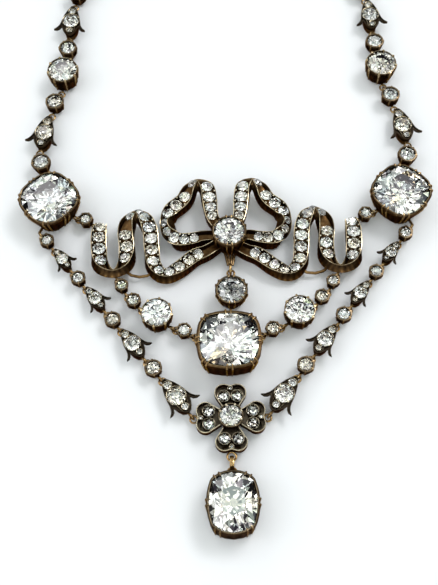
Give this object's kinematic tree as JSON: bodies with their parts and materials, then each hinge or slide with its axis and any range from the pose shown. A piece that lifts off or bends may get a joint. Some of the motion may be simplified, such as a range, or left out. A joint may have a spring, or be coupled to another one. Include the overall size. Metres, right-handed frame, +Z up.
{
  "type": "diamond necklace",
  "caption": "Antique style diamond necklace laid flat: ribbon bow front, festoons and swags of bell flowers, flower cluster, oval pendant and a neck chain of collets closed in one loop.",
  "frame": {"origin": "centre of the laid necklace's bounding box in plan, on the surface that it lies on", "axes": "+X to the viewer's right, +Y from the pendant towards the clasp, +Z up out of the surface"},
  "size_m": [0.0846, 0.2127, 0.0079],
  "materials": {
    "silver": "darkened silver",
    "gold": "worn gold",
    "diamond": "cut and polished"
  },
  "bodies": {
    "root": {"centre_setting": "gold", "centre_stone": "diamond", "side_setting_right": "silver", "side_setting_left": "silver", "side_stone_right": "diamond", "side_stone_left": "diamond", "bow_ribbon": "silver", "bow_stones": "diamond", "knot_stone": "diamond", "bow_drop_setting": "silver", "bow_drop_stone": "diamond", "bow_link_right": "silver", "bow_link_left": "silver", "bow_link_stone_right": "diamond", "bow_link_stone_left": "diamond", "swag_link_1_right": "silver", "swag_link_2_right": "silver", "swag_link_3_right": "silver", "swag_link_4_right": "silver", "swag_link_5_right": "silver", "swag_link_6_right": "silver", "swag_link_7_right": "silver", "swag_link_8_right": "silver", "swag_link_1_left": "silver", "swag_link_2_left": "silver", "swag_link_3_left": "silver", "swag_link_4_left": "silver", "swag_link_5_left": "silver", "swag_link_6_left": "silver", "swag_link_7_left": "silver", "swag_link_8_left": "silver", "swag_stones_right": "diamond", "swag_stones_left": "diamond", "festoon_link_1_right": "silver", "festoon_link_2_right": "silver", "festoon_link_3_right": "silver", "festoon_link_4_right": "silver", "festoon_link_1_left": "silver", "festoon_link_2_left": "silver", "festoon_link_3_left": "silver", "festoon_link_4_left": "silver", "festoon_stones_right": "diamond", "festoon_stones_left": "diamond", "cluster_setting": "silver", "cluster_stones": "diamond", "cluster_centre_stone": "diamond", "pendant_setting": "silver", "pendant_stone": "diamond", "pendant_bail": "gold", "neck_chain_right": "silver", "neck_chain_left": "silver", "neck_stones_right": "diamond", "neck_stones_left": "diamond", "clasp": "gold"}
  },
  "joints": []
}
